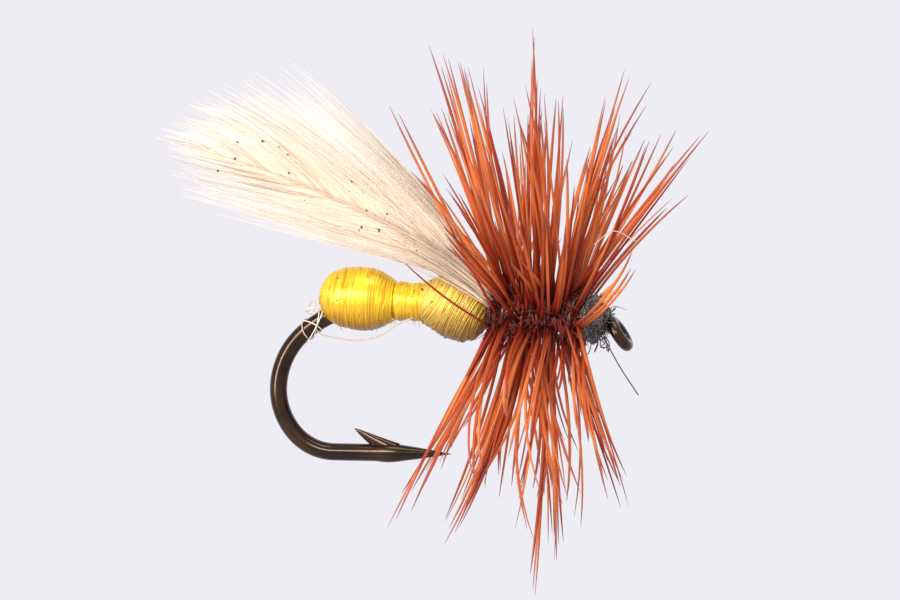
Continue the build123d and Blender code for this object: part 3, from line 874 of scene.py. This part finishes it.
def make_filament_loops():
    """Loose rings of filament round the wire behind the body: C + R (cos t (Y + gap W) + sin t (W x Y +
    tilt W)), where W runs along the wire."""
    line, _ = hook_line()
    behind = np.argmax(line[:, 0] < corners("rear_bulb_floss")[0][0])
    turn = closed_turn(40)
    loops = []
    for steps, tilt, gap, size, shift in FILAMENT_RINGS:
        spot = behind + steps
        way = unit(line[spot + 1] - line[spot - 1])
        leaning = np.cross(way, Y_AXIS) + tilt * way
        ring = np.cos(turn) * (Y_AXIS + gap * way) + np.sin(turn) * leaning
        loops.append(line[spot] + shift + size * ring)
    rings = rings_along(np.array(loops), LOOP_R, 8, X_AXIS)[:, 1:-1]
    piece("filament_loops", rings, FILAMENT, ("tag_filament_wraps",),
          random.uniform(0, 1, len(loops)), loop=True)


make_head_curls()
make_cut_stems()
make_filament_strand()
make_filament_loops()


# -------- specks and hairs
WING_SPECKS, FLOSS_SPECKS, FLOSS_FUZZ, EDGE_HAIRS = 22, 14, 420, 15
HAIR_POINTS, EDGE_HAIR_RINGS = 24, 12
RUST_HAIRS = (((-0.55, -0.3, -0.1), (0.1, -0.5, -1.1), (0.85, -0.6, -2.1)),
              ((-4.1, -0.72, -0.1), (-3.2, -0.9, -0.4), (-2.5, -0.72, -0.1)),
              ((-4.3, -0.6, 0.3), (-3.0, -0.95, 0.75), (-1.6, -0.75, 0.5)))
PALE_HAIR = ((-0.8, -2.4, 3.4), (-0.1, -2.6, 3.95), (0.75, -2.5, 3.6))
# the floss's outer radius at places along the body
BODY_PLACES = (-10.8, -10.3, -9.9, -8.9, -8.3, -7.1, -6.6, -5.9, -5.2)
BODY_RADII = (0.6, 0.98, 1.1, 1.1, 0.74, 0.74, 1.04, 1.28, 1.1)


def body_radius(x):
    """The floss's rough radius at x."""
    return np.interp(x, BODY_PLACES, BODY_RADII)


def make_speck_beads(name, places, body):
    """Small uneven beads: short tubes whose radius follows sqrt(1 - t^2)."""
    size = random.uniform(0.02, 0.05, len(places))[:, None]
    rise = np.linspace(-1, 1, 7)
    way = unit(random.normal(0, 1, (len(places), 3)))[:, None]
    paths = places[:, None] + way * (rise * size)[..., None]
    rings = rings_along(paths, size * np.sqrt(1.02 - rise ** 2), 8, (0.3, 0.5, 0.8), 0.8)
    piece(name, rings, SPECK, body=body)


def make_specks():
    """Dark specks of wax and dust on the near wing and the floss."""
    on_wing = np.stack([random.uniform(1.5, 10.5, WING_SPECKS), random.uniform(-1, 1, WING_SPECKS)], axis=-1)
    on_wing[:, 1] = stem_height(on_wing[:, 0]) + on_wing[:, 1] * 0.14 * on_wing[:, 0]
    x, a = random.uniform(-10.6, -5.0, FLOSS_SPECKS), random.uniform(0.1, 1.9, FLOSS_SPECKS)
    on_floss = about_x(x, body_radius(x) + 0.02, a, BODY_AXIS_Z)
    make_speck_beads("specks_on_wing", lift_out(on_wing, wing_axes(-1), np.full(WING_SPECKS, -0.05)),
                     "near_wing")
    make_speck_beads("specks_on_floss", on_floss, "root")


def make_stray_hairs():
    """Loose hairs: one leaves the head, two cross the thorax and a pale one crosses the hackle."""
    rust = np.array([route(knots, HAIR_POINTS) for knots in RUST_HAIRS])
    piece("stray_rust_hairs", rings_along(rust, 0.024, 6, Y_AXIS), RUST_DOWN, ())
    pale = route(PALE_HAIR, HAIR_POINTS)[None]
    piece("stray_pale_hair", rings_along(pale, 0.018, 6, Y_AXIS), FILAMENT, ())


def make_floss_fuzz():
    """Broken filament ends that stand off the floss."""
    origin, out = around_axis(FLOSS_FUZZ, -10.8, -5.2, body_radius, BODY_AXIS_Z)
    lean = unit(out + random.normal(0, 0.7, (FLOSS_FUZZ, 3)))
    fuzz("floss_fuzz", origin, lean, random.uniform(0.04, 0.2, FLOSS_FUZZ), 0.008, 0.3, BRIGHT_FLOSS)


def make_edge_hairs():
    """Thin darker barbs a little clear of the near feather's upper edge."""
    start = random.uniform(0, 2.2, EDGE_HAIRS)
    root, middle, tip = barb_field(start, True, random.uniform(0.0, 0.06, EDGE_HAIRS))
    stretch = random.uniform(0.5, 0.97, EDGE_HAIRS)[:, None]
    flat = bows(root, root + (middle - root) * stretch, root + (tip - root) * stretch, EDGE_HAIR_RINGS)
    depth = random.uniform(-0.25, -0.05, EDGE_HAIRS)[:, None] * np.linspace(0.3, 1, EDGE_HAIR_RINGS)
    radii = taper(EDGE_HAIR_RINGS, (0, 0.014), (0.6, 0.011), (1, 0.003))
    piece("near_wing_edge_hairs", rings_along(lift_out(flat, wing_axes(-1), depth), radii, 4, Y_AXIS),
          EDGE_BARB, (), random.uniform(0, 1, EDGE_HAIRS), "near_wing")


make_specks()
make_stray_hairs()
make_floss_fuzz()
make_edge_hairs()


# -------- hidden cores, which keep their CAD shape
CORES = {"thread_base": THREAD, "rear_underbody": YARN, "front_underbody": YARN,
         "wing_stem_butts": CREAM_QUILL}
for core, finish in CORES.items():
    core_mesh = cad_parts[core].data
    core_mesh.materials.clear()
    core_mesh.materials.append(finish)


# -------- studio
FLOOR_R, FLOOR_THICK, FLOOR_PLACE = 66, 2, (-6, 0, -36)
WORLD_COLOUR = (0.862, 0.847, 0.905, 1)
# each lamp: name, place, the spot it faces, its two sides, power in watts and colour
LAMPS = (("front_softbox", (-35, -110, 46), (-6, 0, 0), (70, 24), 0.115, (1.0, 0.98, 0.95)),
         ("top_softbox", (10, -20, 110), (-6, 0, 0), (80, 50), 0.07, (1.0, 0.98, 0.95)),
         ("left_strip", (-66, -66, 16), (-8, 0, -2), (19, 70), 0.105, (1.0, 0.87, 0.7)))
ROLL, AZIMUTH, ELEVATION = 2.69, 8, 6.5
TARGET, DISTANCE = (-6.20, 0, 0.83), 252
LENS, SENSOR = 280, 36
GLASSY_BOUNCES = 24  # see-through films that a ray may cross


def make_stage():
    """A round pale floor well below the fly."""
    bpy.ops.mesh.primitive_cylinder_add(vertices=96, radius=FLOOR_R * MM, depth=FLOOR_THICK * MM,
                                        location=Vector(FLOOR_PLACE) * MM)
    floor = bpy.context.object
    floor.name = "studio_floor"
    s = Surface("floor_paper", Roughness=0.9, Specular_IOR_Level=0.0)
    s.link(s.ramp(s.noise(30, 2), [(0.3, (0.5, 0.49, 0.52)), (0.7, (0.52, 0.51, 0.54))]), "Base Color")
    floor.data.materials.append(s.material)


def area_light(name, place, target, size, power, colour):
    """A soft rectangular lamp at a place in mm that faces a target."""
    lamp = bpy.data.lights.new(name, "AREA")
    lamp.shape = "RECTANGLE"
    lamp.size, lamp.size_y = size[0] * MM, size[1] * MM
    lamp.energy, lamp.color = power, colour
    obj = bpy.data.objects.new(name, lamp)
    bpy.context.collection.objects.link(obj)
    obj.location = Vector(place) * MM
    obj.rotation_euler = (Vector(target) - Vector(place)).to_track_quat("-Z", "Y").to_euler()


def make_studio():
    """Even pale surroundings, soft lamps in front and above, and a warm strip at the left."""
    world = bpy.data.worlds.new("studio")
    bpy.context.scene.world = world
    world.use_nodes = True
    world.node_tree.nodes["Background"].inputs[0].default_value = WORLD_COLOUR
    for lamp in LAMPS:
        area_light(*lamp)


def make_camera():
    """Level view of the near side, rolled so that the shank dips a little towards the eye."""
    roll, azimuth, elevation = map(math.radians, (ROLL, AZIMUTH, ELEVATION))
    back = Vector((math.sin(azimuth) * math.cos(elevation), -math.cos(azimuth) * math.cos(elevation),
                   math.sin(elevation)))
    up = Vector((-math.sin(roll), 0, math.cos(roll)))
    right = up.cross(back).normalized()
    up = back.cross(right)
    data = bpy.data.cameras.new("camera")
    data.lens, data.sensor_width = LENS, SENSOR
    data.clip_start, data.clip_end = 0.01, 5
    camera = bpy.data.objects.new("camera", data)
    bpy.context.collection.objects.link(camera)
    turn = Matrix((right, up, back)).transposed().to_4x4()
    place = Vector(TARGET) * MM + back * DISTANCE * MM
    camera.matrix_world = Matrix.Translation(place) @ turn
    bpy.context.scene.camera = camera


make_stage()
make_studio()
make_camera()
view = bpy.context.scene.view_settings
view.view_transform = "Standard"
view.look = "None"
bpy.context.scene.cycles.transparent_max_bounces = GLASSY_BOUNCES
